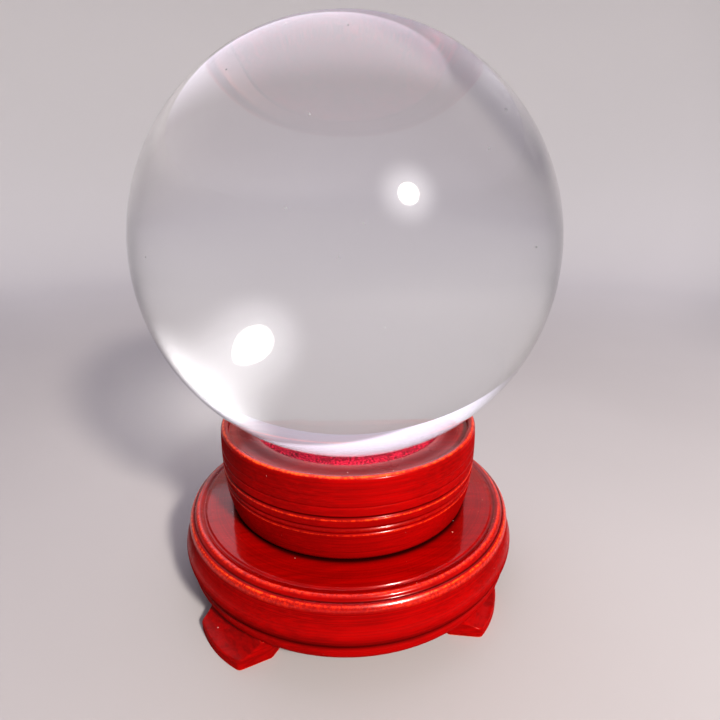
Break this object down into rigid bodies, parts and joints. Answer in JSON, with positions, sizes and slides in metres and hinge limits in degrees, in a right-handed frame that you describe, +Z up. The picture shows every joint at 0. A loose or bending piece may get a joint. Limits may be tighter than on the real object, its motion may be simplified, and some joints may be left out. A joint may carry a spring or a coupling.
{
  "type": "crystal ball",
  "caption": "Clear glass gazing ball resting on a two-tier turned wooden stand with a velvet-lined seat and splayed feet.",
  "frame": {"origin": "centre of the surface that the feet stand on, under the ball's centre", "axes": "+Z up along the ball's and the stand's common axis; the feet lie on the diagonals between X and Y"},
  "size_m": [0.15, 0.15, 0.2062],
  "materials": {
    "ball_glass": "clear colourless optical glass, polished",
    "seat_velvet": "short crimson velvet pile",
    "lacquered_wood": "glossy translucent red-brown lacquer over turned hardwood",
    "screw_steel": "zinc-plated steel"
  },
  "bodies": {
    "stand": {"seat_cup": "lacquered_wood", "seat_lining": "seat_velvet", "base_disc": "lacquered_wood", "front_left_foot": "lacquered_wood", "front_right_foot": "lacquered_wood", "back_right_foot": "lacquered_wood", "back_left_foot": "lacquered_wood", "cup_screw": "screw_steel", "foot_nails": "screw_steel"},
    "ball": {"crystal_ball": "ball_glass"}
  },
  "joints": [
    {"name": "ball_lift", "type": "slide", "parent": "stand", "child": "ball", "axis": [0, 0, 1], "range_m": [0, 0.06]}
  ]
}
